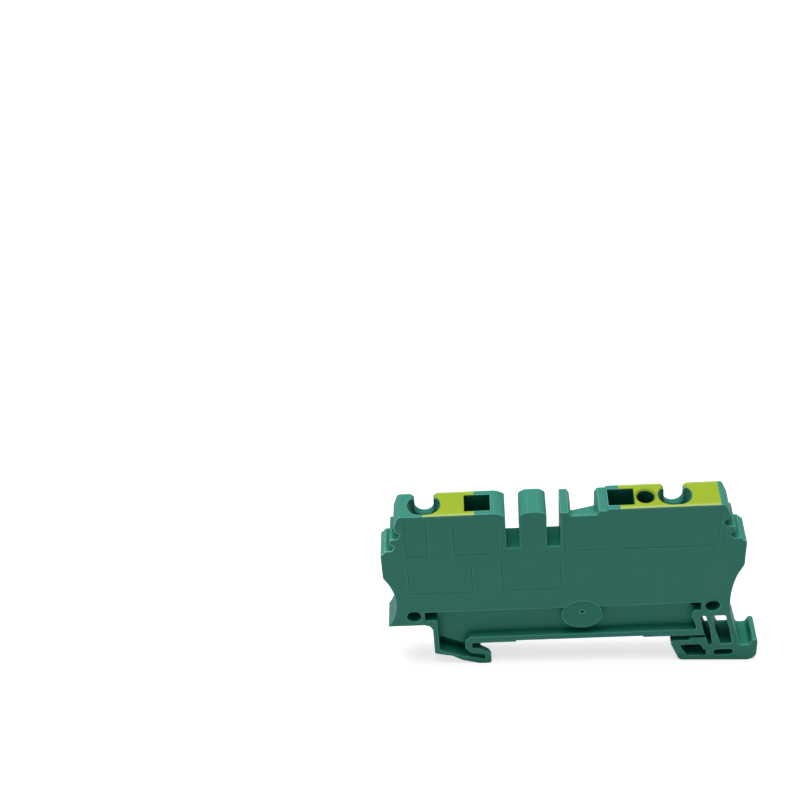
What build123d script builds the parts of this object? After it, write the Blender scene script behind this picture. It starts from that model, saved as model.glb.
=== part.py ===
from build123d import *

import os

# Earth terminal block for a 35 mm rail, in millimetres. X runs along the block towards its latch
# foot. Y runs through its thickness, from the closed near face to the open far face. Z is up. The
# origin is the middle of the rail seat.

os.makedirs("parts", exist_ok=True)

# The rail that the block grips, and the room that its edges get
rail_width = 35.0
rail_sheet = 1.0
rail_play = 0.3
latch_play = 0.25

# The body: how far its side walls stand out past the rail, its heights above the seat, and how much
# deeper the marker steps reach in at the foot's side
thickness = 5.1
top_height = 29.6
hook_end_reach = 13.6
foot_end_reach = 7.5
lug_height = 4.85
waist_height = 10.9
waist_depth = 1.65
foot_waist_height = 8.7
foot_waist_depth = 1.65
side_drop = 8.1
foot_step_stretch = 1.18
side_bottom = 16.3

# The hook, from its throat: its leg stands back, its tip reaches forward under the rail. Past its
# root the tip is a thin plate beside the metal claw
hook_leg = 6.15
hook_tip_reach = 3.05
hook_tip_wall = 1.0
hook_tip_thickness = 0.95
hook_root_reach = 1.35
hook_drop = 5.1
hook_clearance = 0.3

# The latch foot: its nose reaches in under the rail, its toe stands out past the body
nose_reach = 3.05
toe_reach = 3.45
foot_drop = 6.65
finger_ledge = 1.65
finger_floor = 2.85

# The slit and the long hole above the foot, the webs beside the hole, and the gaps round the rail
slit_reach = 2.1
slit_width = 0.9
slit_top = 4.6
slit_bottom = -2.45
inner_web = 0.9
outer_web = 1.5
rail_clearance = 0.2
latch_clearance = 0.7

# Depths of the pockets in the hook and the foot, and the groove that the claw lies in
leg_depth = 2.5
tip_depth = 0.6
pocket_depth = 2.4
oval_depth = 1.5
oval_length = 3.25
oval_width = 1.45
oval_drop = 4.4
claw_floor = -2.1

# Ends of the shallow relief in the seat
seat_left = -10.6
seat_right = 9.95

# Walls of the moulding
face_wall = 1.0
rim_wall = 1.42
rib_wall = 1.2
hook_wall = 0.8
bend_wall = 1.1
seat_relief = 0.3

# The recess in the near face with its two notches, and the disc with the gate's dimple
recess_depth = 1.2
recess_floor = 1.8
notch_sink = 2.0
recess_top = 7.9
notch_length = 1.95
notch_floor = 5.95
disc_shift = 0.04
disc_height = 6.03
disc_radius = 3.22
disc_drop = 0.15
dimple_height = 6.7
dimple_ring = 0.52
dimple_rise = 0.08
dimple_radius = 0.28
dimple_depth = 0.5

# Dowels that line one block up with the next
dowel_hook_reach = 9.3
dowel_foot_reach = 3.2
dowel_height = 6.9
dowel_hole_radius = 1.14
dowel_hole_depth = 1.7
dowel_pin_radius = 1.05
dowel_pin_length = 1.3
dowel_chamfer = 0.15

# Where each end's wire goes in, and how far from it the other parts of its clamp are
hook_wire_inset = 7.16
foot_wire_inset = 11.0
driver_gap = 8.11
test_gap = 4.4
chamber_past_wire = 4.03
chamber_past_bow = 1.6
chamber_roof = 8.7
wire_room = 1.1
middle_roof = 1.25

# Openings in the top
funnel_length = 5.19
funnel_width = 4.15
funnel_depth = 3.3
wire_radius = 1.45
wire_back = 0.15
notch_width = 2.95
notch_depth = 3.45
driver_length = 3.95
driver_width = 3.45
driver_taper = 1.0
test_radius = 1.33
test_rim = 1.57
slot_width = 2.1
slot_depth = 7.55
slot_step = 0.8
post_shift = 4.58
post_width = 4.12
thin_wall = 1.2
flank_width = 0.38
pit_length = 3.8
ridge_gap = 0.44
ridge_width = 1.2
ridge_rise = 0.3
pit_drop = 1.15
pit_ledge = 1.7
ridge_drop = 0.32
post_drop = 0.8

# Metal pieces
bar_sheet = 1.0
bar_width = 3.6
bar_base = 10.0
bar_gap = 1.37
bar_rise = 6.0
tongue_width = 1.6
tongue_height = 2.2
spring_sheet = 0.5
spring_width = 3.2
spring_length = 9.7
bow_height = 5.75
bow_radius = 2.45
arm_past_bar = 1.7
arm_drop = 1.9
lip_drop = 2.2
window_width = 1.8
window_length = 1.8
contact_sheet = 1.0
contact_proud = 0.12
fit_gap = 0.05
neck_width = 3.2
tenon_width = 2.0
stake_height = 0.25

# Places that several pieces share
near = -thickness / 2
far = thickness / 2
contact_near = near + recess_depth + recess_floor
contact_far = contact_near + contact_sheet
inside = near + face_wall
rail_half = rail_width / 2
throat = -rail_half - rail_play
latch_stop = rail_half + latch_play
body_left = -rail_half - hook_end_reach
body_right = rail_half + foot_end_reach
side_top = top_height - side_drop
chamber_top = top_height - chamber_roof
slot_floor = top_height - slot_depth
pit_sill = top_height - pit_drop
hook_wire = body_left + hook_wire_inset
foot_wire = body_right - foot_wire_inset
leg = throat - hook_leg
tip = throat + hook_tip_reach
hook_root = throat + hook_root_reach
arm_top = -rail_sheet - hook_clearance
nose = rail_half - nose_reach
dowels = (-rail_half - dowel_hook_reach, rail_half + dowel_foot_reach)

# The floor inside the hook, from its leg to its tip
hook_floor = ((leg + hook_wall, -1.45), (leg + 1.2, -1.85), (throat - 1.5, -3.3), (tip - hook_tip_wall, -4.15))

# The two clamps mirror each other, so their pieces are placed by how far they are from the middle
clamp_middle = (hook_wire + foot_wire) / 2
wire_offset = (foot_wire - hook_wire) / 2
driver_offset = wire_offset - driver_gap
bar_reach = wire_offset - bar_gap
bow_offset = bar_reach - spring_length
chamber_inner = bow_offset - chamber_past_bow
chamber_outer = wire_offset + chamber_past_wire
arm_reach = bar_reach + arm_past_bar
bar_top = bar_base + bar_sheet
bar_middle = inside + fit_gap + bar_width / 2
over = 1.0


def block(x_from, x_to, y_from, y_to, z_from, z_to):
    """A plain box between two corners."""
    middle = ((x_from + x_to) / 2, (y_from + y_to) / 2, (z_from + z_to) / 2)
    return Pos(*middle) * Box(x_to - x_from, y_to - y_from, z_to - z_from)


def prism(sketch, y_from, y_to):
    """A sketch drawn in X and Z, made solid between two depths."""
    return extrude(Plane.XZ.offset(-y_to) * sketch, y_to - y_from)


def patch(points, radius):
    """A flat area with rounded corners, drawn in X and Z. The radius may differ from corner to corner."""
    return make_face(FilletPolyline(*points, radius=radius, close=True))


# Marker steps, each point as inset from the side wall, drop below the top and rounding. The first
# step goes round its lip, its groove and its shelf. The second does so too and ends at the wall
corner = (3.15, 0.6)
marker_steps = (
    ((2.4, 2.15, 0.1), (2.62, 2.35, 0.1), (2.62, 3.05, 0.15), (3.3, 3.55, 0.15), (3.25, 3.95, 0.15),
     (2.8, 4.7, 0.2), (1.65, 4.7, 0.4)),
    ((1.6, 5.85, 0.2), (2.2, 6.15, 0.15), (2.2, 6.6, 0.15), (1.8, 7.3, 0.2), (0.75, 7.3, 0.15),
     (0.45, 7.8, 0.3)),
)


def shoulder(wall, inward):
    """Points and roundings of the stepped shoulder that holds markers, from the top to a side wall."""
    inset, rounding = corner
    points = [(wall + inward * inset, top_height)]
    radii = [rounding]
    for step in marker_steps:
        for inset, drop, rounding in step:
            points.append((wall + inward * inset, top_height - drop))
            radii.append(rounding)
    return points + [(wall, side_top), (wall, side_bottom)], radii + [0.5]


def outline():
    """The near face's full outline, with the hook and the latch foot."""
    middle = (body_left + body_right) / 2
    left, radii = shoulder(body_left, 1)
    right, radii = shoulder(body_right, -foot_step_stretch)
    waist_left = (body_left + waist_depth, waist_height)
    waist_right = (body_right - foot_waist_depth, foot_waist_height)
    upper_left = (body_left + 0.7, side_bottom - 1.35)
    upper_right = (body_right - 0.9, side_bottom - 2.2)
    web = (body_right - 0.25, 1.0)
    toe = body_right + toe_reach
    with BuildLine() as line:
        Line((middle, top_height), (left[0][0] + 2.5, top_height))
        FilletPolyline((left[0][0] + 2.5, top_height), *left, upper_left, radius=[*radii, 1.0])
        ThreePointArc(upper_left, waist_left, (body_left + 0.05, lug_height))
        FilletPolyline(
            (body_left + 0.05, lug_height), (leg - 1.25, lug_height), (leg - 0.45, lug_height - 0.35),
            (leg, 3.6), (leg, -2.25), (throat - 3.3, -3.0), (throat - 1.6, 0.9 - hook_drop),
            (tip - 1.9, -hook_drop), (tip, -hook_drop), (tip, -3.5), (tip - 0.35, -2.6),
            (throat + 1.3, arm_top - 0.2), (throat, arm_top), (throat, 0),
            radius=[0.5, 0.5, 0.5, 0.35, 1.5, 1.5, 1.0, 0.6, 0.5, 0.9, 0.9, 0.3])
        Line((throat, 0), (nose, 0))
        FilletPolyline(
            (nose, 0), (nose, -2.0), (nose + 1.5, 0.7 - foot_drop), (toe, -foot_drop), (toe, -finger_ledge),
            (toe - 0.85, -finger_ledge), (body_right + 2.15, -finger_floor),
            (body_right + 0.65, -finger_floor), web,
            radius=[1.2, 0.9, 1.6, 0.6, 0.25, 0.5, 0.7])
        ThreePointArc(web, waist_right, upper_right)
        FilletPolyline(upper_right, *reversed(right), (right[0][0] - 2.5, top_height),
                       radius=[1.0, *reversed(radii)])
        Line((right[0][0] - 2.5, top_height), (middle, top_height))
    return make_face(line.edges())


def hook_pocket(part):
    """One of the two parts of the pocket inside the hook: the deep leg or the shallow tip."""
    corner_in, foot_in, bend_in, end = hook_floor
    turn = throat - bend_wall
    if part == "leg":
        return patch([(leg + hook_wall, 0.95), (turn, -1.2), (turn + 0.75, -2.3), (turn + 0.75, -3.4), bend_in,
                      foot_in, corner_in], [0.05, 0.3, 0.05, 0.05, 0.5, 0.3, 0.2])
    return patch([(turn + 0.7, -2.25), (turn + 1.9, -2.45), (end[0] - 0.5, -2.7), (end[0], -3.0), end,
                  (turn + 0.7, -3.45)], [0.05, 0.3, 0.3, 0.2, 0.15, 0.05])


def latch_gap():
    """The rail's way in above the latch foot, with the step that its edge snaps behind."""
    front = nose - over
    floor = -rail_sheet - rail_clearance
    back = rail_half + slit_reach + slit_width / 2
    return patch([(front, 0), (back, 0), (back, -latch_clearance), (latch_stop, -latch_clearance),
                  (latch_stop - 0.45, floor), (front, floor)], 0.12)


def latch_slits():
    """The thin slit and the long hole that leave the foot hanging on two springy webs."""
    left = rail_half + slit_reach
    right = left + slit_width
    slit = [(left - 0.85, slit_top), (right - 0.8, slit_top), (right - 0.05, 2.0),
            (right + 0.7, slit_bottom), (left + 0.95, slit_bottom), (left - 0.1, 1.2)]
    left = right + inner_web
    right = body_right - outer_web
    hole = [(left - 0.6, slit_top), (right - 0.65, slit_top), (right + 0.1, 1.6),
            (right + 0.9, slit_bottom), (left + 1.15, slit_bottom), (left, 1.2)]
    return patch(slit, 0.3) + patch(hole, 0.35)


def foot_pocket():
    """The core-out inside the latch foot."""
    x = rail_half - 1.65
    return patch([(x, -2.25), (x + 3.35, -2.25), (x + 3.95, -3.55), (x + 4.45, -3.75),
                  (x + 4.45, -5.25), (x + 1.3, -5.1)], 0.2)


def recess_area():
    """The low part of the near face: a wide window over the rail seat, with a notch at each end."""
    left = leg + hook_wall
    right = rail_half
    ledge = notch_floor + 0.15
    return patch([(left - notch_length, recess_top), (right + 1.4, recess_top), (right + 1.4, ledge),
                  (right + 0.1, ledge), (right + 0.1, 4.4), (right + 0.85, 2.1), (right + 0.9, rim_wall),
                  (throat - 0.3, rim_wall), (throat - bend_wall, 0.3), (throat - bend_wall, -1.3),
                  (left, 0.95), (left, notch_floor), (left - notch_length, notch_floor)],
                 [0.15, 0.15, 0.15, 0.5, 0.5, 0.3, 0.2, 0.5, 0.3, 0.1, 0.1, 0.2, 0.15])


def notch_areas():
    """The two deep notches at the ends of the recess."""
    left = leg + hook_wall
    right = rail_half
    near_dowel = patch([(left - notch_length, recess_top), (left, recess_top), (left, notch_floor),
                        (left - notch_length, notch_floor)], 0.15)
    near_latch = patch([(right - 0.1, recess_top), (right + 1.4, recess_top), (right + 1.4, notch_floor + 0.15),
                        (right - 0.1, notch_floor + 0.15)], 0.15)
    return near_dowel, near_latch


def clamp_side(side):
    """Where one clamp's X lies: side is -1 for the hook's end and +1 for the foot's end."""
    return lambda distance: clamp_middle + side * distance


def dowel(x, face, radius, length, flare):
    """A dowel's hole in the near face, flared at its rim, or its pin on the far face, narrowed at its end."""
    middle = face + length / 2
    body = Pos(x, middle, dowel_height) * Rot(90, 0, 0) * Cylinder(radius, length)
    if flare > 0:
        return body + Pos(x, face + flare / 2, dowel_height) * Rot(90, 0, 0) * Cone(radius, radius + flare, flare)
    return chamfer(body.faces().sort_by(Axis.Y)[-1].edges(), -flare)


def wire_entry(side):
    """A funnel, the bore below it, and the U-shaped notch that opens it to the far face."""
    x = clamp_side(side)(wire_offset)
    mouth = Pos(x, 0, top_height) * SlotOverall(funnel_length, funnel_width)
    ring = Pos(x, wire_back, top_height - funnel_depth) * SlotOverall(2.2 * wire_radius, 2 * wire_radius)
    funnel = loft([mouth.faces()[0], ring.faces()[0]])
    bore_length = top_height - funnel_depth - chamber_top + 1.2
    bore = Pos(x, wire_back, chamber_top - over + bore_length / 2) * Cylinder(wire_radius, bore_length)
    bend = top_height - notch_depth + notch_width / 2
    half = notch_width / 2
    notch = make_face(
        Polyline((x - half, bend), (x - half, top_height - 0.6), (x - half - 0.5, top_height),
                 (x - half - 0.5, top_height + over), (x + half + 0.5, top_height + over),
                 (x + half + 0.5, top_height), (x + half, top_height - 0.6), (x + half, bend))
        + ThreePointArc((x + half, bend), (x, bend - half), (x - half, bend)))
    return funnel + bore + prism(notch, wire_back, far + over)


def driver_shaft(side):
    """The square hole through which a screwdriver presses the clamp's bow."""
    x = clamp_side(side)(driver_offset)
    mouth = Pos(x, 0, top_height) * Rectangle(driver_length, driver_width)
    return extrude(mouth, -(top_height - chamber_top + 0.5), taper=driver_taper)


def test_hole():
    """The round socket for a test plug, with a chamfered rim."""
    x = clamp_middle + wire_offset - test_gap
    length = top_height - chamber_top + 0.5
    hole = Pos(x, 0, top_height - length / 2) * Cylinder(test_radius, length)
    rim = test_rim - test_radius
    return hole + Pos(x, 0, top_height - rim / 2) * Cone(test_radius, test_rim, rim)


def clamp_chamber(side):
    """The room for one spring and its wire, open to the far face."""
    x = clamp_side(side)
    low = bar_base - fit_gap
    wire_foot = [(x(bar_reach - 1.3), low + over), (x(chamber_outer), low + over),
                 (x(chamber_outer), low - wire_room), (x(bar_reach + 0.1), low - wire_room),
                 (x(bar_reach + 0.1), low), (x(bar_reach - 1.3), low)]
    corners = [(x(chamber_inner), low), (x(chamber_outer), low),
               (x(chamber_outer), chamber_top), (x(chamber_inner), chamber_top)]
    room = prism(make_face(Polyline(*corners, close=True)), inside, far + over)
    return room + prism(make_face(Polyline(*wire_foot, close=True)), inside, far + over)


def middle_rooms():
    """The bar's passage between the chambers, the room above it, and a core-out at the foot's end."""
    high = slot_floor - middle_roof
    half = chamber_inner - rib_wall
    passage = block(clamp_middle - chamber_inner - over, clamp_middle + chamber_inner + over, inside, far + over,
                    bar_base - fit_gap, bar_top + fit_gap)
    room = block(clamp_middle - half, clamp_middle + half, inside, far + over, bar_base, high)
    left = clamp_middle + chamber_outer + rib_wall
    core = patch([(left, bar_base), (body_right - foot_waist_depth - rim_wall, bar_base),
                  (body_right - foot_waist_depth - rim_wall, side_bottom - 2.2),
                  (body_right - rim_wall, side_bottom), (body_right - rim_wall, side_top), (left, side_top)], 0.4)
    return passage + room + prism(core, inside, far + over)


def top_cuts():
    """The slots, the post's crown, the pit and the ridge between the two clamps' tops."""
    post_left = clamp_middle - post_shift
    post_right = post_left + post_width
    slot_left = post_left - slot_width
    wall_left = post_right + slot_width
    wall_right = wall_left + thin_wall
    pit_left = wall_right + flank_width
    pit_right = pit_left + pit_length
    ridge_left = pit_right + ridge_gap
    ridge_right = ridge_left + ridge_width
    y = (near - over, far + over)
    high = top_height + over
    cuts = block(slot_left, post_left, *y, slot_floor, high)
    cuts += block(post_right, wall_left, *y, slot_floor, high)
    cuts += block(slot_left, wall_left, far - slot_step, far + over, slot_floor - middle_roof - 0.1, slot_floor)
    crown = top_height - post_drop
    ledge = top_height - ridge_drop
    for edge, low, bend in ((post_left, crown, 1.7), (post_right, crown, -1.7), (slot_left, crown, -2.3),
                            (ridge_right, ledge, ridge_rise)):
        side = edge - bend / 10
        curve = make_face(
            Polyline((edge + bend, top_height), (edge + bend, high), (side, high), (side, low), (edge, low))
            + ThreePointArc((edge, low), (edge + bend / 3, top_height - 0.31 * (top_height - low)),
                            (edge + bend, top_height)))
        cuts += prism(curve, *y)
    sill = [(wall_right, high), (wall_right, ledge), (pit_left, pit_sill), (pit_right, pit_sill),
            (ridge_left, ledge), (ridge_left, high)]
    cuts += prism(make_face(Polyline(*sill, close=True)), *y)
    cuts += block(wall_left - 0.1, ridge_right, *y, ledge, high)
    # The pit lies behind a sill that slopes down into it and is deeper at its right end
    depths = Polyline((pit_left, near + pit_ledge), (pit_right, near + pit_ledge + 1.3),
                      (pit_right, far + over), (pit_left, far + over), close=True)
    cuts += extrude(Plane.XY.offset(slot_floor) * make_face(depths), high - slot_floor)
    slope = Polyline((near + 0.3, pit_sill + 0.01), (far + over, pit_sill + 0.01), (far + over, pit_sill - 1.8),
                     close=True)
    cuts += extrude(Plane.YZ.offset(pit_left) * make_face(slope), pit_length)
    return cuts


def contact_bay():
    """Room behind the recess and round the hook's throat for the contact foot."""
    left = leg + hook_wall
    rail_edge = arm_top + 0.1
    points = [(left, recess_top - 0.15), (rail_half + 0.1, recess_top - 0.15), (rail_half + 0.1, 3.4),
              (rail_half + 1.1, 2.3), (rail_half + 1.1, -0.05), (latch_stop - 0.15, -0.05),
              (latch_stop - 0.15, rim_wall), (throat + 0.25, rim_wall), (throat + 0.25, rail_edge),
              (hook_root + over, rail_edge), (hook_root + over, hook_floor[-1][1]), *reversed(hook_floor)]
    bay = prism(make_face(Polyline(*points, close=True)), contact_near, far + over)
    neck = block(clamp_middle - neck_width / 2 - fit_gap, clamp_middle + neck_width / 2 + fit_gap,
                 contact_near, far + over, recess_top - 0.3, bar_base)
    groove = block(nose - over, rail_half + 1.1, contact_near, far + over, claw_floor, -0.3)
    return bay + neck + groove


def housing():
    """The moulded housing, all in one piece."""
    y_all = (near - over, far + over)
    body = prism(outline(), near, far)
    body -= prism(latch_gap(), *y_all)
    body -= prism(latch_slits(), *y_all)
    body -= prism(foot_pocket(), near - over, near + pocket_depth)
    oval = Pos(rail_half + 5.55, -oval_drop) * SlotOverall(oval_length, oval_width)
    body -= prism(oval, near - over, near + oval_depth)
    body -= block(seat_left, seat_right, *y_all, -over, seat_relief)
    body -= prism(recess_area(), near - over, near + recess_depth)
    for area in notch_areas():
        body -= prism(area, near - over, near + notch_sink)
    disc = Pos(disc_shift, disc_height) * Circle(disc_radius)
    body -= prism(disc, near - over, near + disc_drop)
    body += prism(disc, near + disc_drop, near + recess_depth)
    gate = Pos(disc_shift, dimple_height)
    body += prism(gate * Circle(dimple_ring), near + disc_drop - dimple_rise, near + recess_depth)
    body -= prism(gate * Circle(dimple_radius), near - over, near + disc_drop + dimple_depth)
    body -= prism(hook_pocket("leg"), near - over, near + leg_depth)
    body -= prism(hook_pocket("tip"), near - over, near + tip_depth)
    body -= block(hook_root, tip + over, near + hook_tip_thickness, far + over, -hook_drop - over, -0.05)
    for x in dowels:
        body -= dowel(x, near, dowel_hole_radius, dowel_hole_depth, dowel_chamfer)
        body += dowel(x, far, dowel_pin_radius, dowel_pin_length, -dowel_chamfer)
    for side in (-1, 1):
        body -= wire_entry(side)
        body -= driver_shaft(side)
        body -= clamp_chamber(side)
    body -= test_hole()
    body -= middle_rooms()
    body -= top_cuts()
    body -= contact_bay()
    return body


def current_bar():
    """The bar that joins both clamps: each end stands up and carries a tongue for the spring's window."""
    x = clamp_side(1)
    outer = clamp_side(-1)
    top = bar_base + bar_rise
    profile = [(outer(bar_reach), top), (outer(bar_reach), bar_base), (x(bar_reach), bar_base),
               (x(bar_reach), top), (x(bar_reach - bar_sheet), top), (x(bar_reach - bar_sheet), bar_top),
               (outer(bar_reach - bar_sheet), bar_top), (outer(bar_reach - bar_sheet), top)]
    radii = [0.2, 1.4, 1.4, 0.2, 0.2, 0.4, 0.4, 0.2]
    bar = prism(patch(profile, radii), bar_middle - bar_width / 2, bar_middle + bar_width / 2)
    for y in (bar_middle - bar_width / 2 - tongue_width / 2, bar_middle + bar_width / 2 + tongue_width / 2):
        bar -= block(outer(bar_reach + over), x(bar_reach + over), y - bar_width / 2, y + bar_width / 2,
                     top - tongue_height, top + over)
    half = tenon_width / 2 + fit_gap
    return bar - block(clamp_middle - half, clamp_middle + half, contact_near - fit_gap, contact_far + fit_gap,
                       bar_base - over, bar_top + over)


def clamp_spring(side):
    """A cage spring: its base lies on the bar, its bow turns over, and its window closes on the bar's end."""
    x = clamp_side(side)
    base = bar_top + spring_sheet / 2
    path = FilletPolyline(
        (x(bar_reach - bar_sheet - 0.3), 0, base), (x(bow_offset), 0, base), (x(bow_offset), 0, base + bow_height),
        (x(arm_reach), 0, base + bow_height - arm_drop),
        (x(arm_reach + 0.4), 0, base + bow_height - arm_drop - lip_drop),
        radius=[bow_radius, bow_radius, 0.6])
    section = Plane(origin=path @ 0, x_dir=(0, 1, 0), z_dir=path % 0) * Rectangle(spring_width, spring_sheet)
    spring = Pos(0, bar_middle, 0) * sweep(section, path=path)
    edge = bar_reach + fit_gap
    reach = sorted((x(edge - window_length), x(edge)))
    return spring - block(*reach, bar_middle - window_width / 2, bar_middle + window_width / 2,
                          base + bow_height / 2, base + bow_height + over)


def contact_foot():
    """The steel plate that grips the rail with two claws and carries the bar on its staked tenon."""
    left = leg + hook_wall + 0.15
    claw = arm_top + contact_proud
    foot_claw = (nose - contact_proud, -rail_sheet - rail_clearance + contact_proud)
    top = recess_top - 0.25
    profile = [(left, top), (rail_half, top), (rail_half, 3.3), (rail_half + 1.0, 2.2),
               (rail_half + 1.0, claw_floor + fit_gap), (foot_claw[0], claw_floor + fit_gap), foot_claw,
               (latch_stop - 0.1, foot_claw[1]), (latch_stop - 0.1, rim_wall + 0.1),
               (throat + contact_proud, rim_wall + 0.1), (throat + contact_proud, claw), (throat + 1.3, claw),
               (tip - 0.35, contact_proud - 2.6), (tip, -3.3), (throat + 1.2, -3.3),
               (throat - 1.5, -3.15), (leg + 1.35, -1.7), (left, -1.25)]
    plate = prism(patch(profile, 0.1), contact_near, contact_far)
    y = (contact_near, contact_far)
    half = neck_width / 2
    plate += block(clamp_middle - half, clamp_middle + half, *y, top - over, bar_base)
    half = tenon_width / 2
    plate += block(clamp_middle - half, clamp_middle + half, *y, bar_base - over, bar_top + stake_height)
    half += 0.3
    return plate + block(clamp_middle - half, clamp_middle + half, *y, bar_top, bar_top + stake_height)


def save(shape, name):
    """Writes one piece to its own file."""
    export_step(shape, "parts/" + name + ".step")


save(housing(), "housing")
save(current_bar(), "current_bar")
save(clamp_spring(-1), "clamp_spring_hook_side")
save(clamp_spring(1), "clamp_spring_foot_side")
save(contact_foot(), "contact_foot")
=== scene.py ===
# %% [markdown]
# An earth terminal block is a thin green plastic housing that snaps on a mounting rail. Its shape
# is already exact in the CAD frame, so this lesson is about its finish: satin moulded nylon, two
# printed yellow fields, blank moulded panels, and the bright metal that shows in the gaps.
# Everything is in metres, in the frame's own axes: X along the block, Y through its thickness from
# the closed near face to the open far one, Z up from the rail seat.

import math

import bpy
from mathutils import Matrix, Vector


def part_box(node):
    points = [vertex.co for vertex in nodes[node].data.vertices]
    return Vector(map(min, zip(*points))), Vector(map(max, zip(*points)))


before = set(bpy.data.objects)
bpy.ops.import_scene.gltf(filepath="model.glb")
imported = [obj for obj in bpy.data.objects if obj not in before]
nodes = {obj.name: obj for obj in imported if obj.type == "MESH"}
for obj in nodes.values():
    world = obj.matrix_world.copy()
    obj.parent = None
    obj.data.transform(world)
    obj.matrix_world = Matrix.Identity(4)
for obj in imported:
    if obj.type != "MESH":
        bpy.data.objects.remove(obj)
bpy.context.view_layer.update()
mm = 0.001


print("nodes:", sorted(nodes))

# %% [markdown]
# The near face lies at the lowest Y of the housing, and the yellow print lies at its highest Z.
# Both could be typed in, but measured they can't disagree with the CAD. The far face is a little
# nearer than the box says, because two dowel pins stand out of it, so it is found from the
# thickness of the block instead.

# %% Measure the housing
housing_low, housing_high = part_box("housing")
thickness = 5.1 * mm
near_y = housing_low.y
far_y = near_y + thickness
top_z = housing_high.z
print("near face y, top z in mm:", round(near_y / mm, 3), round(top_z / mm, 3))

# %% [markdown]
# Materials are trees of nodes. They could be drawn by hand in the shader editor, but code shows
# every value in one place. These helpers add one node or do one sum, so that a recipe below reads
# as a list of what feeds what.

# %% Node helpers
def add_node(tree, kind, inputs=None, **fields):
    """Adds one node, sets its fields, and fills or links its inputs."""
    node = tree.nodes.new(kind)
    for name, value in fields.items():
        setattr(node, name, value)
    for name, value in (inputs or {}).items():
        if isinstance(value, bpy.types.NodeSocket):
            tree.links.new(value, node.inputs[name])
        else:
            node.inputs[name].default_value = value
    return node


def math_node(tree, operation, *values, clamp=False):
    """One arithmetic step. Numbers are set and sockets are linked, in order."""
    inputs = dict(enumerate(values))
    return add_node(tree, "ShaderNodeMath", inputs, operation=operation, use_clamp=clamp).outputs[0]


def chain(tree, operation, first, *others):
    """The same arithmetic step over several values, such as their product or their maximum."""
    result = first
    for value in others:
        result = math_node(tree, operation, result, value)
    return result


print("node helpers:", add_node.__name__, math_node.__name__, chain.__name__)

# %% [markdown]
# A mask is a value from 0 to 1 that says where an effect shows. Blender's Map Range and Color Ramp
# nodes can make one, but most masks below need only a start and a gain, and that is two sums. A
# mask then mixes one colour over another.

# %% Mask and colour helpers
def rising(tree, value, start, gain):
    """0 up to the start, then growing with the value, up to 1."""
    return math_node(tree, "MULTIPLY", math_node(tree, "SUBTRACT", value, start), gain, clamp=True)


def falling(tree, value, start, gain):
    """0 above the start, then growing as the value falls, up to 1."""
    return math_node(tree, "MULTIPLY", math_node(tree, "SUBTRACT", start, value), gain, clamp=True)


def mix_color(tree, factor, first, second):
    """Mixes two colours by a factor."""
    factor_input, first_input, second_input, color_output = 0, 6, 7, 2
    inputs = {factor_input: factor, first_input: first, second_input: second}
    return add_node(tree, "ShaderNodeMix", inputs, data_type="RGBA").outputs[color_output]


print("mask and colour helpers:", rising.__name__, falling.__name__, mix_color.__name__)

# %% [markdown]
# Node groups are Blender's functions for materials: a recipe is built once, under a name, and
# placed wherever it is needed with other inputs. The nodes could be copied into each material
# instead, but then a change would have to be made in all of them.

# %% Group helpers
FLOAT, VECTOR = "NodeSocketFloat", "NodeSocketVector"


def new_group(name, inputs, outputs):
    """An empty shader node group with named sockets. Returns the tree and its two end nodes."""
    tree = bpy.data.node_groups.new(name, "ShaderNodeTree")
    for socket_name, kind, default in inputs:
        socket = tree.interface.new_socket(socket_name, in_out="INPUT", socket_type=kind)
        if default is not None:
            socket.default_value = default
    for socket_name, kind in outputs:
        tree.interface.new_socket(socket_name, in_out="OUTPUT", socket_type=kind)
    return tree, tree.nodes.new("NodeGroupInput"), tree.nodes.new("NodeGroupOutput")


def place_group(tree, group, **inputs):
    """Places a group in a material's tree. Underscores in the names stand for spaces."""
    named = {name.replace("_", " "): value for name, value in inputs.items()}
    return add_node(tree, "ShaderNodeGroup", named, node_tree=group).outputs


def socket_names(group, direction):
    """The names of a group's inputs or outputs."""
    return [item.name for item in group.interface.items_tree if item.in_out == direction]


print("group helpers:", new_group.__name__, place_group.__name__, socket_names.__name__)

# %% [markdown]
# Moulded nylon is not one flat green. It has broad, faint clouds where the melt flowed, and a fine
# grain copied from the steel mould. A photo of plastic could be laid on it, but that would need
# a flat layout of the surface and would repeat. One slow noise for the clouds and one fast noise
# for the grain need neither. They read the object's own coordinates, so they stay on the part
# when it moves.

# %% Group: moulded grain
def build_moulded_grain():
    """Broad clouds, and a fine grain that a Bump node can take as a height."""
    tree, start, end = new_group(
        "moulded_grain",
        [("Vector", VECTOR, None), ("Cloud Scale", FLOAT, 120.0), ("Grain Scale", FLOAT, 4000.0)],
        [("Clouds", FLOAT), ("Grain", FLOAT)])
    clouds = add_node(tree, "ShaderNodeTexNoise",
                      {"Vector": start.outputs["Vector"], "Scale": start.outputs["Cloud Scale"],
                       "Detail": 3.0, "Roughness": 0.55, "Distortion": 0.4})
    grain = add_node(tree, "ShaderNodeTexNoise",
                     {"Vector": start.outputs["Vector"], "Scale": start.outputs["Grain Scale"],
                      "Detail": 2.0, "Roughness": 0.6})
    tree.links.new(clouds.outputs["Fac"], end.inputs["Clouds"])
    tree.links.new(grain.outputs["Fac"], end.inputs["Grain"])
    return tree


moulded_grain = build_moulded_grain()
print("moulded grain gives:", socket_names(moulded_grain, "OUTPUT"))
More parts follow.
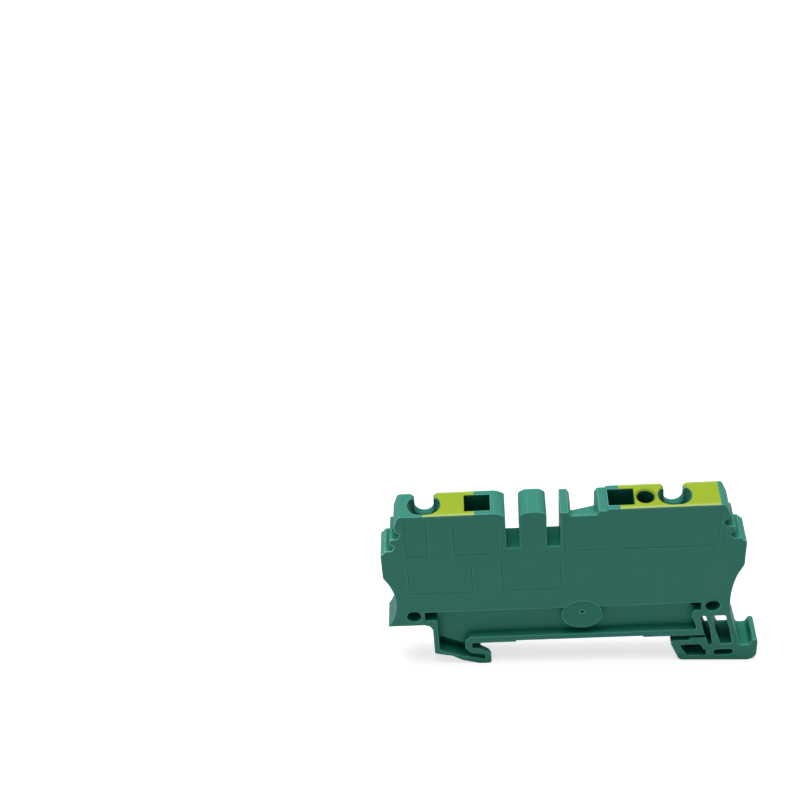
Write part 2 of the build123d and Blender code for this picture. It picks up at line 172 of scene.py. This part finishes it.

# %% [markdown]
# Real edges are never sharp: they catch light, and handling rubs them paler. Rounding them in the
# mesh would change the CAD shape. The Bevel node instead gives the normal that a rounded edge would
# have. Where it differs from the surface's own normal, an edge is near. Inner corners differ too,
# so the mask is held back where Ambient Occlusion finds a hollow. The pale colour that a material
# mixes in by this mask is both wear and a painted highlight. The group also tells how open a point
# is, over a short reach and over a long one, because the painted shade of hollows and holes needs
# that later.

# %% Group: edge wear and highlight
probe_rays = 8
hollow_start, hollow_gain, hollow_blend = 0.55, 2.4, 0.1
breakup_least, breakup_range = 0.5, 0.9


def build_edge_wear_and_highlight():
    """A broken mask of the outer edges, their rounded normal, and how open each point is."""
    tree, start, end = new_group(
        "edge_wear_and_highlight",
        [("Vector", VECTOR, None), ("Radius", FLOAT, 0.2 * mm), ("Strength", FLOAT, 3.0),
         ("Breakup Scale", FLOAT, 900.0), ("Hollow Reach", FLOAT, 1.2 * mm),
         ("Deep Reach", FLOAT, 9.0 * mm)],
        [("Mask", FLOAT), ("Rounded Normal", VECTOR), ("Openness", FLOAT),
         ("Deep Openness", FLOAT)])
    get = start.outputs
    rounded = add_node(tree, "ShaderNodeBevel", {"Radius": get["Radius"]},
                       samples=probe_rays).outputs[0]
    own = add_node(tree, "ShaderNodeNewGeometry").outputs["Normal"]
    alike = add_node(tree, "ShaderNodeVectorMath", {0: rounded, 1: own}, operation="DOT_PRODUCT")
    turned = math_node(tree, "SUBTRACT", 1.0, alike.outputs["Value"], clamp=True)
    turned = math_node(tree, "SQRT", turned)

    openness = {}
    for name, reach in (("Openness", "Hollow Reach"), ("Deep Openness", "Deep Reach")):
        probe = add_node(tree, "ShaderNodeAmbientOcclusion", {"Distance": get[reach]},
                         samples=probe_rays)
        openness[name] = probe.outputs["AO"]
        tree.links.new(openness[name], end.inputs[name])
    outer = math_node(tree, "SUBTRACT", openness["Openness"], hollow_start)
    outer = math_node(tree, "MULTIPLY", outer, hollow_gain)
    outer = math_node(tree, "SMOOTH_MAX", outer, 0.0, hollow_blend)

    noise = add_node(tree, "ShaderNodeTexNoise",
                     {"Vector": get["Vector"], "Scale": get["Breakup Scale"], "Detail": 2.0})
    broken = math_node(tree, "MULTIPLY", noise.outputs["Fac"], breakup_range)
    broken = math_node(tree, "ADD", broken, breakup_least)
    mask = chain(tree, "MULTIPLY", turned, get["Strength"], broken)
    mask = math_node(tree, "MULTIPLY", mask, outer, clamp=True)
    tree.links.new(mask, end.inputs["Mask"])
    tree.links.new(rounded, end.inputs["Rounded Normal"])
    return tree


edge_wear_and_highlight = build_edge_wear_and_highlight()
print("edge wear gives:", socket_names(edge_wear_and_highlight, "OUTPUT"))

# %% [markdown]
# A printed field and a sunk panel are both rectangles on a face of the block. A picture could mark
# them, but a sum on the coordinates stays sharp from any distance. This group answers how far
# inside a rectangle a point is, from 0 outside to 1 inside, with a soft rim. A narrow rim gives a
# crisp print, and a wider one gives a moulded step.

# %% Group: rectangle
def build_rectangle():
    """1 inside a rectangle, 0 outside, with a soft rim."""
    sides = ("Left", "Right", "Bottom", "Top")
    tree, start, end = new_group(
        "rectangle",
        [(name, FLOAT, 0.0) for name in ("U", "V") + sides] + [("Rim", FLOAT, 0.1 * mm)],
        [("Inside", FLOAT)])
    get = start.outputs
    pairs = (("U", "Left"), ("Right", "U"), ("V", "Bottom"), ("Top", "V"))
    distances = [math_node(tree, "SUBTRACT", get[more], get[less]) for more, less in pairs]
    nearest = chain(tree, "MINIMUM", *distances)
    middle_of_rim = 0.5
    inside = math_node(tree, "DIVIDE", nearest, get["Rim"])
    inside = math_node(tree, "ADD", inside, middle_of_rim, clamp=True)
    tree.links.new(inside, end.inputs["Inside"])
    return tree


rectangle = build_rectangle()
print("rectangle takes:", socket_names(rectangle, "INPUT"))

# %% [markdown]
# Round marks need the same help: the disc on the near face, the dimple in it, and the rim of the
# test socket. Thin rings of mesh could be laid on them, but they would add shape to the block. This
# group instead measures how far a point is from a centre. It answers with the whole disc, and with
# a soft ring along its rim.

# %% Group: circle
def build_circle():
    """1 inside a circle, and a soft ring along it."""
    tree, start, end = new_group(
        "circle",
        [(name, FLOAT, 0.0) for name in ("U", "V", "Centre U", "Centre V")]
        + [("Radius", FLOAT, 1.0 * mm), ("Line", FLOAT, 0.1 * mm)],
        [("Inside", FLOAT), ("Ring", FLOAT)])
    get = start.outputs
    across = math_node(tree, "SUBTRACT", get["U"], get["Centre U"])
    along = math_node(tree, "SUBTRACT", get["V"], get["Centre V"])
    squares = math_node(tree, "ADD", math_node(tree, "MULTIPLY", across, across),
                        math_node(tree, "MULTIPLY", along, along))
    past = math_node(tree, "SUBTRACT", math_node(tree, "SQRT", squares), get["Radius"])
    inside = math_node(tree, "LESS_THAN", past, 0.0)
    off_line = math_node(tree, "DIVIDE", math_node(tree, "ABSOLUTE", past), get["Line"])
    ring = math_node(tree, "SUBTRACT", 1.0, off_line, clamp=True)
    tree.links.new(inside, end.inputs["Inside"])
    tree.links.new(ring, end.inputs["Ring"])
    return tree


def place_circle(tree, u, v, centre, radius, line):
    """Places the circle group round a centre."""
    return place_group(tree, circle, U=u, V=v, Centre_U=centre[0], Centre_V=centre[1],
                       Radius=radius, Line=line)


circle = build_circle()
print("circle gives:", socket_names(circle, "OUTPUT"))

# %% [markdown]
# Metal strip keeps the fine lines of the rolls that made it. Scratches could be modelled or
# painted one by one, but a noise that is stretched along the rolling direction gives all of them
# at once. A second, slow noise dulls the strip in patches, as handling and plating do.

# %% Group: rolled metal
def build_rolled_metal():
    """Fine rolling lines along one direction, and dull patches."""
    tree, start, end = new_group(
        "rolled_metal",
        [("Vector", VECTOR, None), ("Stretch", VECTOR, (60.0, 1400.0, 3200.0)),
         ("Patch Scale", FLOAT, 260.0)],
        [("Lines", FLOAT), ("Patches", FLOAT)])
    get = start.outputs
    stretched = add_node(tree, "ShaderNodeVectorMath", {0: get["Vector"], 1: get["Stretch"]},
                         operation="MULTIPLY").outputs[0]
    noises = (("Lines", stretched, 1.0), ("Patches", get["Vector"], get["Patch Scale"]))
    for name, vector, scale in noises:
        noise = add_node(tree, "ShaderNodeTexNoise",
                         {"Vector": vector, "Scale": scale, "Detail": 3.0, "Roughness": 0.6})
        tree.links.new(noise.outputs["Fac"], end.inputs[name])
    return tree


rolled_metal = build_rolled_metal()
print("rolled metal takes:", socket_names(rolled_metal, "INPUT"))

# %% [markdown]
# Two fields of the top are printed yellow, which with the green marks an earth terminal. A second
# mesh could lie on the top as a skin of paint, but it would be a shape that the block doesn't
# have. A mask gives the same look: it takes what faces up within the two fields. On a thin band
# of the near face, just below the top's edge, only a trace of the print is left.

# %% Printed fields
printed_fields = ((-24.1 * mm, -16.3 * mm), (5.65 * mm, 20.62 * mm))
print_depth = 0.45 * mm
print_rim = 0.05 * mm
faces_up, faces_near = 0.35, -0.5
trace_height, trace_strength = 0.28 * mm, 0.22


def printed_mask(tree, at, facing):
    """1 where yellow print covers the green."""
    fields = [
        place_group(tree, rectangle, U=at["X"], V=at["Z"], Left=left, Right=right,
                    Bottom=top_z - print_depth, Top=top_z + mm, Rim=print_rim)["Inside"]
        for left, right in printed_fields]
    upward = math_node(tree, "GREATER_THAN", facing["Z"], faces_up)
    nearward = math_node(tree, "LESS_THAN", facing["Y"], faces_near)
    below_edge = math_node(tree, "GREATER_THAN", at["Z"], top_z - trace_height)
    trace = chain(tree, "MULTIPLY", nearward, below_edge, trace_strength)
    taking = math_node(tree, "MAXIMUM", upward, trace)
    return math_node(tree, "MULTIPLY", chain(tree, "MAXIMUM", *fields), taking)


print("printed widths in mm:", [round((b - a) / mm, 2) for a, b in printed_fields])

# %% [markdown]
# Five blank panels are sunk into the near face. Their steps hardly cast a shadow in the photo, so
# their depth can't be read from it, and two hundredths of a millimetre is a guess. Cut into the
# mesh they would cost many faces and hardly show, so a Bump node takes their mask as a height. A
# dark line of painted shade along the inside and a pale line of painted highlight along the
# outside stand for the step. They are made of the same mask, with its sides moved in or out.

# %% Panel masks
blank_panels = (
    (-27.30 * mm, -23.65 * mm, 20.75 * mm, 28.40 * mm),
    (-19.80 * mm, -12.80 * mm, 20.80 * mm, 27.40 * mm),
    (-2.90 * mm, 20.75 * mm, 20.83 * mm, 28.40 * mm),
    (-27.20 * mm, -17.10 * mm, 12.20 * mm, 18.35 * mm),
    (-12.60 * mm, -3.20 * mm, 12.30 * mm, 19.49 * mm),
)
panel_rim = 0.10 * mm
panel_depth = 0.02 * mm
flush = (0.0, 0.0, 0.0, 0.0)
lip_widths = (0.16 * mm, 0.16 * mm, 0.16 * mm, 0.05 * mm)
foot_widths = (0.14 * mm, 0.14 * mm, 0.20 * mm, 0.04 * mm)


def panel_mask(tree, at, outward):
    """1 on all panels and 0 between them. Left, right, bottom and top move outward as told."""
    return chain(tree, "MAXIMUM", *(
        place_group(tree, rectangle, U=at["X"], V=at["Z"], Left=left - outward[0],
                    Right=right + outward[1], Bottom=bottom - outward[2],
                    Top=top + outward[3], Rim=panel_rim)["Inside"]
        for left, right, bottom, top in blank_panels))


def panel_steps(tree, at, on_near):
    """The sunk panels, the lip of painted highlight outside their step and the foot of painted
    shade inside it.
    """
    sunk = math_node(tree, "MULTIPLY", panel_mask(tree, at, flush), on_near)
    lip_highlight = math_node(tree, "SUBTRACT", panel_mask(tree, at, lip_widths), sunk)
    lip_highlight = math_node(tree, "MULTIPLY", lip_highlight, on_near, clamp=True)
    inner = panel_mask(tree, at, [-width for width in foot_widths])
    foot_shade = math_node(tree, "SUBTRACT", sunk, inner, clamp=True)
    return sunk, lip_highlight, foot_shade


print("panel widths in mm:", [round((right - left) / mm, 2) for left, right, _, _ in blank_panels])

# %% [markdown]
# The round disc and its dimple are most likely where the melt was let into the mould. Their shape
# is in the CAD. In the photo their rims show as pale rings, and the disc is a shade deeper than the
# face. Lamps could be moved until they show that, but such a faint difference is easier to paint:
# the rings are painted highlight, and the deeper disc is painted shade.

# %% Disc and dimple
disc_place, disc_radius = (0.04 * mm, 6.03 * mm), 3.22 * mm
dimple_place, dimple_radius = (0.04 * mm, 6.70 * mm), 0.48 * mm
disc_line = 0.17 * mm


def disc_masks(tree, at, on_near):
    """The whole disc, for its painted shade, and the rings of painted highlight along its rim and
    its dimple's rim.
    """
    gate = place_circle(tree, at["X"], at["Z"], disc_place, disc_radius, disc_line)
    dimple = place_circle(tree, at["X"], at["Z"], dimple_place, dimple_radius, disc_line)
    disc = math_node(tree, "MULTIPLY", gate["Inside"], on_near)
    rings = math_node(tree, "MAXIMUM", gate["Ring"], dimple["Ring"])
    return disc, math_node(tree, "MULTIPLY", rings, on_near)


print("disc and dimple radius in mm:", round(disc_radius / mm, 2), round(dimple_radius / mm, 2))

# %% [markdown]
# Hands rub the two ends of a block most. In the photo the shoulder at the hook's end has the palest
# lip, as wear and as a glint of light. Vertex paint could hold that, but it would be tied to one
# mesh. Here the edge mask, wear with a painted highlight, grows towards both ends, and that
# shoulder gets a paler colour: wear and a painted highlight of that glint.

# %% Rubbed ends and painted glint
block_middle = -3.05 * mm
rubbed_from, rubbed_over = 24.3 * mm, 1.4 * mm
rubbed_gain = 1.6
shoulder_bottom = 19.0 * mm


def rubbed_and_glint_masks(tree, at, edges, shoulder_high):
    """The worn edges with their painted highlight, stronger towards the ends, and the shoulder at
    the hook's end, which gets the palest painted highlight.
    """
    off_middle = math_node(tree, "ABSOLUTE", math_node(tree, "SUBTRACT", at["X"], block_middle))
    ends = rising(tree, off_middle, rubbed_from, 1 / rubbed_over)
    stronger = math_node(tree, "ADD", 1.0, math_node(tree, "MULTIPLY", ends, rubbed_gain))
    worn_and_highlit = math_node(tree, "MULTIPLY", edges, stronger, clamp=True)
    hook_end = math_node(tree, "LESS_THAN", at["X"], block_middle)
    return worn_and_highlit, chain(tree, "MULTIPLY", ends, shoulder_high, hook_end)


print("ends are rubbed from this far off the middle in mm:", round(rubbed_from / mm, 2))

# %% [markdown]
# In a hollow, light goes from green to green and loses its red, so hollows look deeper in colour
# than the faces. The renderer's own bounces give part of that. The rest is painted shade, mixed in
# by how open a point is: a deeper green in shallow hollows, and the deepest in holes, and in the
# slots and grooves between the shoulders' bottom and the top. Each mask has the openness where it
# starts and how fast it grows below that.

# %% Hollows: painted shade
# Where each painted shade starts in openness, and how fast it grows.
hollow_ramp = (0.90, 1.9)
hole_ramp = (0.58, 1.9)
groove_ramp = (0.60, 3.0)
slot_ramp = (0.88, 1.4)
top_margin = 0.25 * mm


def hollow_shade_masks(tree, at, wear, shoulder_high):
    """Painted shade for the shallow hollows, and the darkest painted shade for all that is deepest.
    """
    hollow_shade = falling(tree, wear["Openness"], *hollow_ramp)
    hole = falling(tree, wear["Deep Openness"], *hole_ramp)
    groove = falling(tree, wear["Openness"], *groove_ramp)
    slot = falling(tree, wear["Deep Openness"], *slot_ramp)
    under_top = math_node(tree, "LESS_THAN", at["Z"], top_z - top_margin)
    narrow = math_node(tree, "MAXIMUM", groove, slot)
    in_top = chain(tree, "MULTIPLY", narrow, shoulder_high, under_top)
    return hollow_shade, math_node(tree, "MAXIMUM", hole, in_top)


print("deep hollows lie between these heights in mm:", round(shoulder_bottom / mm, 2),
      round((top_z - top_margin) / mm, 2))

# %% [markdown]
# Now the masks can lay the greens over each other, as a painter would: the plain nylon first, then
# the painted shade of the panels' dark lines and of the disc, the painted highlight of the pale
# lines and rings, the painted shade of the hollows, and the worn edges with their painted highlight
# last, because wear lies on top of all. One texture could hold the result, but the order of the
# layers would be lost in it.

# %% Green nylon colour
nylon_green = (0.057, 0.303, 0.228, 1.0)
nylon_deep = (0.048, 0.279, 0.209, 1.0)
# Painted shade of the panels' feet, the disc and the shallow hollows.
nylon_shade = (0.0, 0.205, 0.112, 1.0)
# The darkest painted shade, in holes, slots and grooves.
nylon_deepest_shade = (0.0, 0.110, 0.072, 1.0)
# Worn edges with a painted highlight on them, and the pale lines and rings, which are painted
# highlight.
nylon_worn_and_highlight = (0.170, 0.640, 0.530, 1.0)
# The palest lip at the hook's end: wear and a painted highlight.
nylon_rubbed_and_glint = (0.380, 0.920, 0.800, 1.0)
foot_strength, disc_strength, lip_strength, ring_strength = 0.85, 0.25, 0.20, 0.70


def green_color(tree, at, clouds, wear, on_near, foot_shade, lip_highlight):
    """All the greens of the housing, from the plain nylon through painted shade and painted
    highlight to the worn and highlit edges.
    """
    disc, ring = disc_masks(tree, at, on_near)
    shoulder_high = math_node(tree, "GREATER_THAN", at["Z"], shoulder_bottom)
    worn_and_highlit, shoulder = rubbed_and_glint_masks(tree, at, wear["Mask"], shoulder_high)
    hollow_shade, deepest_shade = hollow_shade_masks(tree, at, wear, shoulder_high)
    # The panels' lips and the rims of the disc and dimple get a painted highlight.
    painted_highlight = math_node(tree, "MAXIMUM", math_node(tree, "MULTIPLY", lip_highlight, lip_strength),
                     math_node(tree, "MULTIPLY", ring, ring_strength))
    layers = (
        (math_node(tree, "MULTIPLY", foot_shade, foot_strength), nylon_shade),
        (math_node(tree, "MULTIPLY", disc, disc_strength), nylon_shade),
        (painted_highlight, nylon_worn_and_highlight),
        (hollow_shade, nylon_shade),
        (deepest_shade, nylon_deepest_shade),
        (worn_and_highlit, mix_color(tree, shoulder, nylon_worn_and_highlight, nylon_rubbed_and_glint)),
    )
    green = mix_color(tree, clouds, nylon_deep, nylon_green)
    for factor, layer in layers:
        green = mix_color(tree, factor, green, layer)
    return green


print("plain green:", nylon_green[:3], "worn:", nylon_worn_and_highlight[:3])

# %% [markdown]
# The yellow is a thin coat of print. The green shows through it a little in spots. Along both long
# edges of the top it is painted paler, as a painted highlight, and on the rim of the test socket it
# is painted olive, as painted shade over the print. A painted picture could hold all that. Masks
# over one plain yellow do it too, and each can be changed on its own.

# %% Yellow print colour
print_yellow = (0.388, 0.533, 0.034, 1.0)
print_thin = (0.345, 0.495, 0.030, 1.0)
print_edge_highlight = (0.520, 0.720, 0.260, 1.0)
print_olive_shade = (0.230, 0.340, 0.020, 1.0)
thin_ramp = (0.45, 2.0)
# The paler bands along the top's long edges are a painted highlight.
near_band_width, near_band_soft = 0.55 * mm, 0.45 * mm
far_band_width, far_band_soft = 0.35 * mm, 0.30 * mm
band_strength = 0.9
# The olive ring round the test socket is painted shade over the print.
socket_place, socket_radius, socket_line = (9.60 * mm, 0.0), 1.50 * mm, 0.22 * mm
socket_strength = 0.7


def yellow_color(tree, at, clouds):
    """The print, thinner in spots, with painted highlight along its edges and painted olive shade
    round the test socket.
    """
    near_band = falling(tree, at["Y"], near_y + near_band_width, 1 / near_band_soft)
    far_band = rising(tree, at["Y"], far_y - far_band_width, 1 / far_band_soft)
    band = math_node(tree, "MAXIMUM", near_band, far_band)
    socket = place_circle(tree, at["X"], at["Y"], socket_place, socket_radius, socket_line)
    yellow = mix_color(tree, rising(tree, clouds, *thin_ramp), print_yellow, print_thin)
    yellow = mix_color(tree, math_node(tree, "MULTIPLY", band, band_strength), yellow, print_edge_highlight)
    olive = math_node(tree, "MULTIPLY", socket["Ring"], socket_strength)
    return mix_color(tree, olive, yellow, print_olive_shade)


print("test socket in mm:", round(socket_place[0] / mm, 2), "radius", round(socket_radius / mm, 2))

# %% [markdown]
# Every material starts in the same way: with a name, its tree, its shader, and the coordinates that
# belong to the object. One helper does that, so that no material forgets a step.

# %% Material helper
def new_material(name):
    """A material with its tree, its Principled shader and the object's own coordinates."""
    material = bpy.data.materials.new(name)
    material.use_nodes = True
    tree = material.node_tree
    place = add_node(tree, "ShaderNodeTexCoord").outputs["Object"]
    return material, tree, tree.nodes["Principled BSDF"], place


print("material helper:", new_material.__name__)

# %% [markdown]
# The housing's material puts the pieces together. The print's mask chooses between green and
# yellow. The clouds make the surface a little more or less rough, and the print is a little
# smoother than the nylon. Two Bump nodes follow each other, the panels first and the grain on
# them, both over the rounded normal. Nylon with a mould's grain hardly shines, so its specular
# level is low.

# %% Housing material
wear_radius, wear_strength, hollow_reach = 0.22 * mm, 2.4, 2.5 * mm
faces_straight_near = -0.9
nylon_rough, cloud_rough, print_smooth = 0.46, 0.14, 0.06
grain_strength, grain_depth = 0.25, 0.006 * mm


def build_housing_material():
    """Green moulded nylon with printed yellow fields and blank panels."""
    material, tree, shader, place = new_material("moulded_green_nylon")
    at = add_node(tree, "ShaderNodeSeparateXYZ", {"Vector": place}).outputs
    normal = add_node(tree, "ShaderNodeNewGeometry").outputs["True Normal"]
    facing = add_node(tree, "ShaderNodeSeparateXYZ", {"Vector": normal}).outputs
    grain = place_group(tree, moulded_grain, Vector=place, Cloud_Scale=140.0, Grain_Scale=5200.0)
    # Its mask gives worn edges with a painted highlight on them, and its openness places the
    # painted shade of hollows.
    wear = place_group(tree, edge_wear_and_highlight, Vector=place, Radius=wear_radius, Strength=wear_strength,
                       Breakup_Scale=1100.0, Hollow_Reach=hollow_reach)

    on_near = math_node(tree, "LESS_THAN", facing["Y"], faces_straight_near)
    sunk, lip_highlight, foot_shade = panel_steps(tree, at, on_near)
    printed = printed_mask(tree, at, facing)
    green = green_color(tree, at, grain["Clouds"], wear, on_near, foot_shade, lip_highlight)
    yellow = yellow_color(tree, at, grain["Clouds"])
    tree.links.new(mix_color(tree, printed, green, yellow), shader.inputs["Base Color"])

    rough = math_node(tree, "MULTIPLY", grain["Clouds"], cloud_rough)
    rough = math_node(tree, "ADD", nylon_rough, rough)
    rough = math_node(tree, "SUBTRACT", rough, math_node(tree, "MULTIPLY", printed, print_smooth))
    tree.links.new(rough, shader.inputs["Roughness"])

    panels = add_node(tree, "ShaderNodeBump",
                      {"Strength": 1.0, "Distance": -panel_depth, "Height": sunk,
                       "Normal": wear["Rounded Normal"]})
    texture = add_node(tree, "ShaderNodeBump",
                       {"Strength": grain_strength, "Distance": grain_depth,
                        "Height": grain["Grain"], "Normal": panels.outputs["Normal"]})
    tree.links.new(texture.outputs["Normal"], shader.inputs["Normal"])
    shader.inputs["Specular IOR Level"].default_value = 0.12
    return material


green_nylon = build_housing_material()
print("housing material nodes:", len(green_nylon.node_tree.nodes))

# %% [markdown]
# Three metals hide in the housing: steel spring strip, a tinned copper bar, and a zinc-plated steel
# foot whose claws show in the rail gap. Three recipes could be written, but the metals share the
# rolled lines, the dull patches and the bright edges. They differ only in colour, stretch and
# roughness, so one function makes all three.

# %% Metal materials
metal_wear_radius, metal_wear_strength = 0.06 * mm, 0.7
bare_edge = (0.80, 0.80, 0.78, 1.0)
patch_ramp, streak_ramp = (0.32, 2.6), (0.45, 1.6)
streak_rough = 0.24
line_strength, line_depth = 0.3, 0.004 * mm


def build_metal(name, bright, dull, roughness, stretch):
    """A rolled and plated strip."""
    material, tree, shader, place = new_material(name)
    rolled = place_group(tree, rolled_metal, Vector=place, Stretch=stretch, Patch_Scale=420.0)
    wear = place_group(tree, edge_wear_and_highlight, Vector=place, Radius=metal_wear_radius,
                       Strength=metal_wear_strength, Breakup_Scale=1500.0)
    color = mix_color(tree, rising(tree, rolled["Patches"], *patch_ramp), bright, dull)
    color = mix_color(tree, rising(tree, rolled["Lines"], *streak_ramp), color, dull)
    color = mix_color(tree, wear["Mask"], color, bare_edge)
    tree.links.new(color, shader.inputs["Base Color"])
    streaks = math_node(tree, "MULTIPLY", rolled["Lines"], streak_rough)
    tree.links.new(math_node(tree, "ADD", roughness, streaks), shader.inputs["Roughness"])
    lines = add_node(tree, "ShaderNodeBump",
                     {"Strength": line_strength, "Distance": line_depth,
                      "Height": rolled["Lines"], "Normal": wear["Rounded Normal"]})
    tree.links.new(lines.outputs["Normal"], shader.inputs["Normal"])
    shader.inputs["Metallic"].default_value = 1.0
    return material


spring_strip = build_metal(
    "rolled_spring_strip", bright=(0.47, 0.46, 0.43, 1.0), dull=(0.33, 0.32, 0.31, 1.0),
    roughness=0.24, stretch=(60.0, 3000.0, 60.0))
tinned_bar = build_metal(
    "tinned_copper_bar", bright=(0.68, 0.64, 0.56, 1.0), dull=(0.55, 0.50, 0.42, 1.0),
    roughness=0.20, stretch=(80.0, 2600.0, 80.0))
zinc_plate = build_metal(
    "zinc_plated_steel", bright=(0.60, 0.62, 0.64, 1.0), dull=(0.43, 0.46, 0.49, 1.0),
    roughness=0.26, stretch=(90.0, 90.0, 2600.0))
print("metals:", spring_strip.name, tinned_bar.name, zinc_plate.name)

# %% [markdown]
# The frame holds one mesh for each CAD piece. Each gets one material in one slot, and its shape is
# left alone. The two springs are made of the same strip, so they share one material.

# %% Give each CAD node its finish
finishes = {
    "housing": green_nylon,
    "clamp_spring_hook_side": spring_strip,
    "clamp_spring_foot_side": spring_strip,
    "current_bar": tinned_bar,
    "contact_foot": zinc_plate,
}
for name, material in finishes.items():
    slots = nodes[name].data.materials
    slots.clear()
    slots.append(material)
print("finished nodes:", len(finishes))

# %% [markdown]
# In the photo the block stands on its hook and its latch foot. The floor could lie level under the
# lowest point, but then the hook would hang in the air. So it meets those two and tilts a little
# against the rail seat.

# %% Floor
hook_rest = Vector((-15.7 * mm, 0.0, -5.1 * mm))
foot_rest = Vector((27.0 * mm, 0.0, -6.57 * mm))
floor_tilt = math.atan2(hook_rest.z - foot_rest.z, foot_rest.x - hook_rest.x)
floor_size = 4.0
floor_gap = 0.02 * mm


def build_floor():
    """A wide plane through the two resting points, a hair below them."""
    half = floor_size / 2
    mesh = bpy.data.meshes.new("floor")
    mesh.from_pydata([(-half, -half, 0), (half, -half, 0), (half, half, 0), (-half, half, 0)], [],
                     [(0, 1, 2, 3)])
    floor = bpy.data.objects.new("floor", mesh)
    bpy.context.scene.collection.objects.link(floor)
    middle = (hook_rest + foot_rest) / 2 - Vector((0, 0, floor_gap))
    floor.matrix_world = Matrix.Translation(middle) @ Matrix.Rotation(floor_tilt, 4, "Y")
    return floor


floor = build_floor()
print("floor tilt in degrees:", round(math.degrees(floor_tilt), 2))

# %% [markdown]
# In the photo the ground is white. Here it is white too, and keeps a faint soft shadow, so that the
# block is seen to stand on it. A stronger lamp could burn the floor white, but the block would burn
# out with it. A glow does it instead, only for rays that come from the camera or from a mirror, so
# that it spreads no light of its own. It rises with distance, so that no grey edge shows where the
# floor ends.

# %% Floor material
floor_shade = (0.62, 0.62, 0.62, 1.0)
white = (1.0, 1.0, 1.0, 1.0)
floor_glow, full_glow = 0.70, 1.0
glow_rises_from, glow_rises_to = 0.15, 0.9


def seen_directly(tree):
    """1 for rays from the camera, a mirror or a clear body, and 0 for light that spreads."""
    path = add_node(tree, "ShaderNodeLightPath").outputs
    return chain(tree, "MAXIMUM", path["Is Camera Ray"], path["Is Glossy Ray"],
                 path["Is Transmission Ray"])


def build_floor_material():
    """Plain pale board: light shows as its shade, and its own glow keeps it white."""
    material, tree, shader, place = new_material("pale_board")
    shader.inputs["Base Color"].default_value = floor_shade
    shader.inputs["Roughness"].default_value = 0.9
    shader.inputs["Specular IOR Level"].default_value = 0.1
    shader.inputs["Emission Color"].default_value = white
    reach = add_node(tree, "ShaderNodeVectorMath", {0: place}, operation="LENGTH").outputs["Value"]
    glow = add_node(tree, "ShaderNodeMapRange", {
        "Value": reach, "From Min": glow_rises_from, "From Max": glow_rises_to,
        "To Min": floor_glow, "To Max": full_glow}).outputs[0]
    glow = math_node(tree, "MULTIPLY", seen_directly(tree), glow)
    tree.links.new(glow, shader.inputs["Emission Strength"])
    return material


floor.data.materials.append(build_floor_material())
print("floor glow:", floor_glow, "rising to", full_glow)

# %% [markdown]
# In the photo the top is a little more than twice as bright as the near face, so the main light
# stands almost straight above. A sun would give hard shadows, and the photo shows none, so it is
# one large square lamp. A weak lamp at the near left lifts the face towards the camera.

# %% Lamps
target = Vector((-3.0 * mm, 0.0, 12.0 * mm))


def build_lamp(name, place, size, power):
    """A square soft lamp that points at the block."""
    data = bpy.data.lights.new(name, "AREA")
    data.shape = "SQUARE"
    data.size = size
    data.energy = power
    lamp = bpy.data.objects.new(name, data)
    bpy.context.scene.collection.objects.link(lamp)
    lamp.location = place
    lamp.rotation_euler = (target - Vector(place)).to_track_quat("-Z", "Y").to_euler()
    return lamp


key_lamp = build_lamp("key_lamp", place=(-0.07, 0.04, 0.86), size=0.55, power=6.7)
fill_lamp = build_lamp("fill_lamp", place=(-0.45, -0.70, 0.60), size=0.50, power=0.6)
print("lamps:", key_lamp.name, fill_lamp.name)

# %% [markdown]
# Even surroundings fill the shade. They give little light, but look white to the camera and in
# mirrors, by the same rule as the floor. A picture of a studio could do this too, but it would put
# its own pattern into the metal, and an even white puts none.

# %% Surroundings
ambient = 0.09


def build_world():
    """Even surroundings that light the shade and look white to the camera and to mirrors."""
    world = bpy.data.worlds.new("surroundings")
    bpy.context.scene.world = world
    world.use_nodes = True
    tree = world.node_tree
    background = tree.nodes["Background"]
    extra = math_node(tree, "MULTIPLY", seen_directly(tree), 1.0 - ambient)
    background.inputs["Color"].default_value = white
    tree.links.new(math_node(tree, "ADD", ambient, extra), background.inputs["Strength"])


build_world()
print("ambient light:", ambient)

# %% [markdown]
# The camera was found from the photo: the block's long edges and its dowel holes fix where the lens
# was and how long it is. Its axis points down by about forty-one degrees. The block lies below the
# middle of the picture, so it is seen a little more from above than that. A camera aimed by eye
# could look alike, but its lines would not run as in the photo.

# %% Camera
camera_place = Vector((-13.612 * mm, -166.784 * mm, 195.434 * mm))
camera_right = Vector((0.997416, 0.012810, -0.070650))
camera_up = Vector((0.044930, 0.656159, 0.753279))
camera_focal, sensor_width = 69.57, 36.0


def build_camera():
    """The photo's own viewpoint, in a square frame."""
    data = bpy.data.cameras.new("camera")
    data.sensor_width = sensor_width
    data.lens = camera_focal
    data.clip_start = 0.01
    data.clip_end = 20.0
    camera = bpy.data.objects.new("camera", data)
    bpy.context.scene.collection.objects.link(camera)
    back = camera_right.cross(camera_up).normalized()
    turn = Matrix((camera_right, camera_up, back)).transposed().to_4x4()
    camera.matrix_world = Matrix.Translation(camera_place) @ turn
    bpy.context.scene.camera = camera
    return camera


camera = build_camera()
look_down = math.degrees(math.asin(camera.matrix_world.col[2].z))
print("camera looks down by", round(look_down, 1), "degrees")

# %% [markdown]
# The Standard view transform shows colours as they were mixed. No finish above moves or adds
# anything on the block.

# %% View transform
bpy.context.scene.view_settings.view_transform = "Standard"
